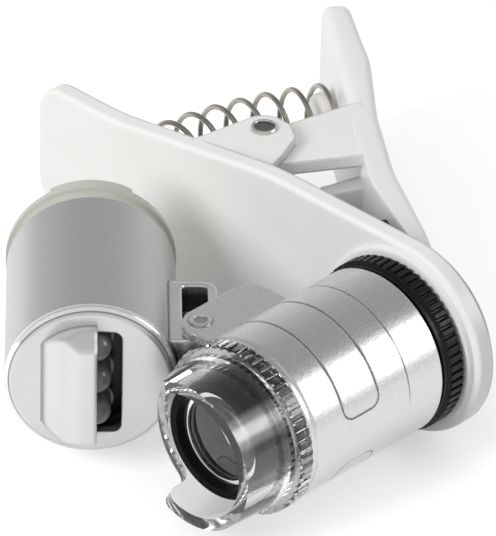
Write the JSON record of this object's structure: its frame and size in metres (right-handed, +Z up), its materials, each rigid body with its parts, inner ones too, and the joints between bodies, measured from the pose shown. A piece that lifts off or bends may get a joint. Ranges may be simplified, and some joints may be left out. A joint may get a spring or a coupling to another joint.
{
  "type": "clip-on phone microscope",
  "caption": "Clip-on phone magnifier: a barrel lens with a knurled focus ring and clear foot on a sprung white clip, with a swivelling round light beside it.",
  "frame": {"origin": "on the lens axis, in the back face of the front jaw, where the clip lies on the phone", "axes": "+Y along the lens axis towards the phone's camera, so the objective looks along -Y; +X from the clip's handle to its lens end; +Z up"},
  "size_m": [0.0634, 0.0711, 0.0212],
  "materials": {
    "white_plastic": "smooth moulded white plastic",
    "silver_paint": "silver metallic paint, slightly mottled",
    "chrome": "polished plating",
    "satin_metal": "satin plating",
    "spring_steel": "bright drawn wire",
    "black_rubber": "soft black rubber",
    "black_plastic": "black plastic with a faint sheen",
    "clear_plastic": "clear moulded plastic",
    "lens_glass": "coated glass",
    "lamp_resin": "clear resin",
    "board_laminate": "green laminate",
    "holder_plastic": "natural plastic",
    "cell_steel": "nickel-plated steel",
    "smoke_plastic": "smoky translucent plastic"
  },
  "bodies": {
    "clip_frame": {"front_jaw": "white_plastic", "jaw_pin": "chrome", "clip_spring": "spring_steel", "front_pad": "black_rubber", "barrel_housing": "silver_paint", "hinge_rivet": "chrome", "eyepiece_ring": "black_plastic", "eyepiece_lens": "lens_glass"},
    "back_clip": {"back_jaw": "white_plastic", "back_pad": "black_rubber"},
    "focus_wheel": {"focus_ring": "black_plastic"},
    "objective": {"lens_tube": "black_plastic", "objective_lens": "lens_glass", "rear_lens": "lens_glass", "lens_retainer": "chrome"},
    "foot": {"clear_foot": "clear_plastic"},
    "light": {"light_housing": "silver_paint", "light_bracket": "chrome", "light_front_cap": "chrome", "lamp_upper": "lamp_resin", "lamp_middle": "lamp_resin", "lamp_lower": "lamp_resin", "led_board": "board_laminate", "cell_holder": "holder_plastic", "cell_1": "cell_steel", "cell_2": "cell_steel", "cell_3": "cell_steel"},
    "light_shutter": {"light_slider": "satin_metal"},
    "battery_door": {"battery_cap": "smoke_plastic", "cell_contact": "spring_steel"}
  },
  "joints": [
    {"name": "jaw_hinge", "type": "hinge", "parent": "clip_frame", "child": "back_clip", "pos_m": [-0.0277, 0.00634, 0], "axis": [0, 0, 1], "range_deg": [0, 25], "stiffness_Nm_per_rad": 0.03, "springref_deg": -22.92, "deforming": ["clip_spring"]},
    {"name": "focus_turn", "type": "hinge", "parent": "clip_frame", "child": "focus_wheel", "pos_m": [0, -0.004, 0], "axis": [0, 1, 0], "range_deg": [-90, 90]},
    {"name": "objective_slide", "type": "slide", "parent": "clip_frame", "child": "objective", "axis": [0, -1, 0], "range_m": [-0.0009, 0.0009]},
    {"name": "foot_turn", "type": "hinge", "parent": "clip_frame", "child": "foot", "pos_m": [0, -0.0256, 0], "axis": [0, 1, 0], "range_deg": [-60, 60]},
    {"name": "light_swivel", "type": "hinge", "parent": "clip_frame", "child": "light", "pos_m": [-0.01074, -0.02037, 0], "axis": [0, 0, -1], "range_deg": [-10, 17]},
    {"name": "shutter_slide", "type": "slide", "parent": "light", "child": "light_shutter", "axis": [0.7046, 0.7096, 0], "range_m": [0, 0.002]},
    {"name": "cap_turn", "type": "hinge", "parent": "light", "child": "battery_door", "pos_m": [-0.01649, -0.03008, 0], "axis": [-0.7096, 0.7046, 0], "range_deg": [0, 45]}
  ],
  "couplings": [
    {"joint": "focus_turn", "follows": "objective_slide", "rad_per_m": 1600}
  ]
}
